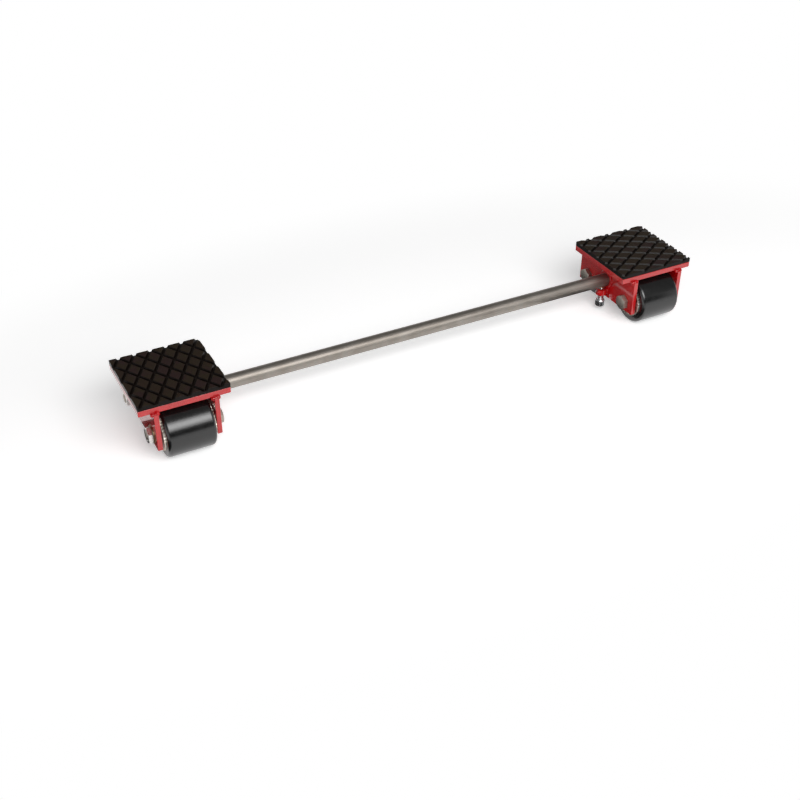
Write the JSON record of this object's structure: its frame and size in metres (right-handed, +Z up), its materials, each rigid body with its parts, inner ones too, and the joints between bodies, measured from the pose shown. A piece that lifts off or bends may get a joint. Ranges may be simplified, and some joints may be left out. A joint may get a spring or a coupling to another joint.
{
  "type": "machine moving dolly",
  "caption": "Machine moving dolly: roller carriages with grooved rubber pads, set apart along a round guide bar and held on it by clamp screws.",
  "frame": {"origin": "middle of the bounding box on the floor, below the middle of the guide bar", "axes": "+X along the guide bar from the left to the right carriage, +Y to the rear, across the carriages in the direction the dolly rolls, +Z up"},
  "size_m": [1.05, 0.1992, 0.11],
  "materials": {
    "bar_steel": "drawn steel, dull, with fine lengthwise streaks",
    "red_paint": "glossy red enamel",
    "painted_weld": "weld under thick glossy red enamel",
    "pad_rubber": "matt black rubber, dusty",
    "tread": "black polyurethane, satin to glossy",
    "core_iron": "turned cast iron",
    "bearing_steel": "ground steel with dark seals",
    "cover_zinc": "zinc plated sheet",
    "bolt_steel": "dull zinc plated steel",
    "nut_zinc": "bright zinc plated steel",
    "washer_steel": "yellowed zinc plated steel",
    "tube_steel": "turned steel",
    "clamp_screw_zinc": "bright zinc plated steel",
    "brass": "turned brass"
  },
  "bodies": {
    "guide_bar": {"guide_bar": "bar_steel"},
    "left_carriage": {"left_rubber_pad": "pad_rubber", "left_top_plate": "red_paint", "left_inner_side_plate": "red_paint", "left_outer_side_plate": "red_paint", "left_guide_sleeve": "red_paint", "left_weld_beads": "painted_weld", "left_clamp_nut": "red_paint", "left_front_axle_bolt": "bolt_steel", "left_front_axle_washer": "washer_steel", "left_front_axle_nut": "nut_zinc", "left_front_axle_tube": "tube_steel", "left_rear_axle_bolt": "bolt_steel", "left_rear_axle_washer": "washer_steel", "left_rear_axle_nut": "nut_zinc", "left_rear_axle_tube": "tube_steel"},
    "left_front_roller": {"left_front_roller_tread": "tread", "left_front_roller_core": "core_iron", "left_front_roller_bearings": "bearing_steel", "left_front_roller_end_covers": "cover_zinc"},
    "left_rear_roller": {"left_rear_roller_tread": "tread", "left_rear_roller_core": "core_iron", "left_rear_roller_bearings": "bearing_steel", "left_rear_roller_end_covers": "cover_zinc"},
    "left_clamp_thrust": {"left_clamp_thrust_pad": "brass"},
    "left_clamp_screw": {"left_clamp_screw": "clamp_screw_zinc"},
    "right_carriage": {"right_rubber_pad": "pad_rubber", "right_top_plate": "red_paint", "right_inner_side_plate": "red_paint", "right_outer_side_plate": "red_paint", "right_guide_sleeve": "red_paint", "right_weld_beads": "painted_weld", "right_clamp_nut": "red_paint", "right_front_axle_bolt": "bolt_steel", "right_front_axle_washer": "washer_steel", "right_front_axle_nut": "nut_zinc", "right_front_axle_tube": "tube_steel", "right_rear_axle_bolt": "bolt_steel", "right_rear_axle_washer": "washer_steel", "right_rear_axle_nut": "nut_zinc", "right_rear_axle_tube": "tube_steel"},
    "right_front_roller": {"right_front_roller_tread": "tread", "right_front_roller_core": "core_iron", "right_front_roller_bearings": "bearing_steel", "right_front_roller_end_covers": "cover_zinc"},
    "right_rear_roller": {"right_rear_roller_tread": "tread", "right_rear_roller_core": "core_iron", "right_rear_roller_bearings": "bearing_steel", "right_rear_roller_end_covers": "cover_zinc"},
    "right_clamp_thrust": {"right_clamp_thrust_pad": "brass"},
    "right_clamp_screw": {"right_clamp_screw": "clamp_screw_zinc"}
  },
  "joints": [
    {"name": "left_carriage_slide", "type": "slide", "parent": "guide_bar", "child": "left_carriage", "axis": [1, 0, 0], "range_m": [-0.03, 0.35]},
    {"name": "left_front_roller_spin", "type": "hinge", "parent": "left_carriage", "child": "left_front_roller", "pos_m": [-0.45, -0.05706, 0.0425], "axis": [1, 0, 0], "continuous": true},
    {"name": "left_rear_roller_spin", "type": "hinge", "parent": "left_carriage", "child": "left_rear_roller", "pos_m": [-0.45, 0.05706, 0.0425], "axis": [1, 0, 0], "continuous": true},
    {"name": "left_clamp_lift", "type": "slide", "parent": "left_carriage", "child": "left_clamp_thrust", "axis": [0, 0, 1], "range_m": [-0.004, 0]},
    {"name": "left_clamp_turn", "type": "hinge", "parent": "left_clamp_thrust", "child": "left_clamp_screw", "pos_m": [-0.3875, 0, 0.03], "axis": [0, 0, 1], "range_deg": [-823, 0]},
    {"name": "right_carriage_slide", "type": "slide", "parent": "guide_bar", "child": "right_carriage", "axis": [-1, 0, 0], "range_m": [-0.03, 0.35]},
    {"name": "right_front_roller_spin", "type": "hinge", "parent": "right_carriage", "child": "right_front_roller", "pos_m": [0.45, -0.05706, 0.0425], "axis": [1, 0, 0], "continuous": true},
    {"name": "right_rear_roller_spin", "type": "hinge", "parent": "right_carriage", "child": "right_rear_roller", "pos_m": [0.45, 0.05706, 0.0425], "axis": [1, 0, 0], "continuous": true},
    {"name": "right_clamp_lift", "type": "slide", "parent": "right_carriage", "child": "right_clamp_thrust", "axis": [0, 0, 1], "range_m": [-0.004, 0]},
    {"name": "right_clamp_turn", "type": "hinge", "parent": "right_clamp_thrust", "child": "right_clamp_screw", "pos_m": [0.3875, 0, 0.03], "axis": [0, 0, 1], "range_deg": [-823, 0]}
  ],
  "couplings": [
    {"joint": "left_clamp_turn", "follows": "left_clamp_lift", "rad_per_m": 3590.4},
    {"joint": "right_clamp_turn", "follows": "right_clamp_lift", "rad_per_m": 3590.4}
  ]
}
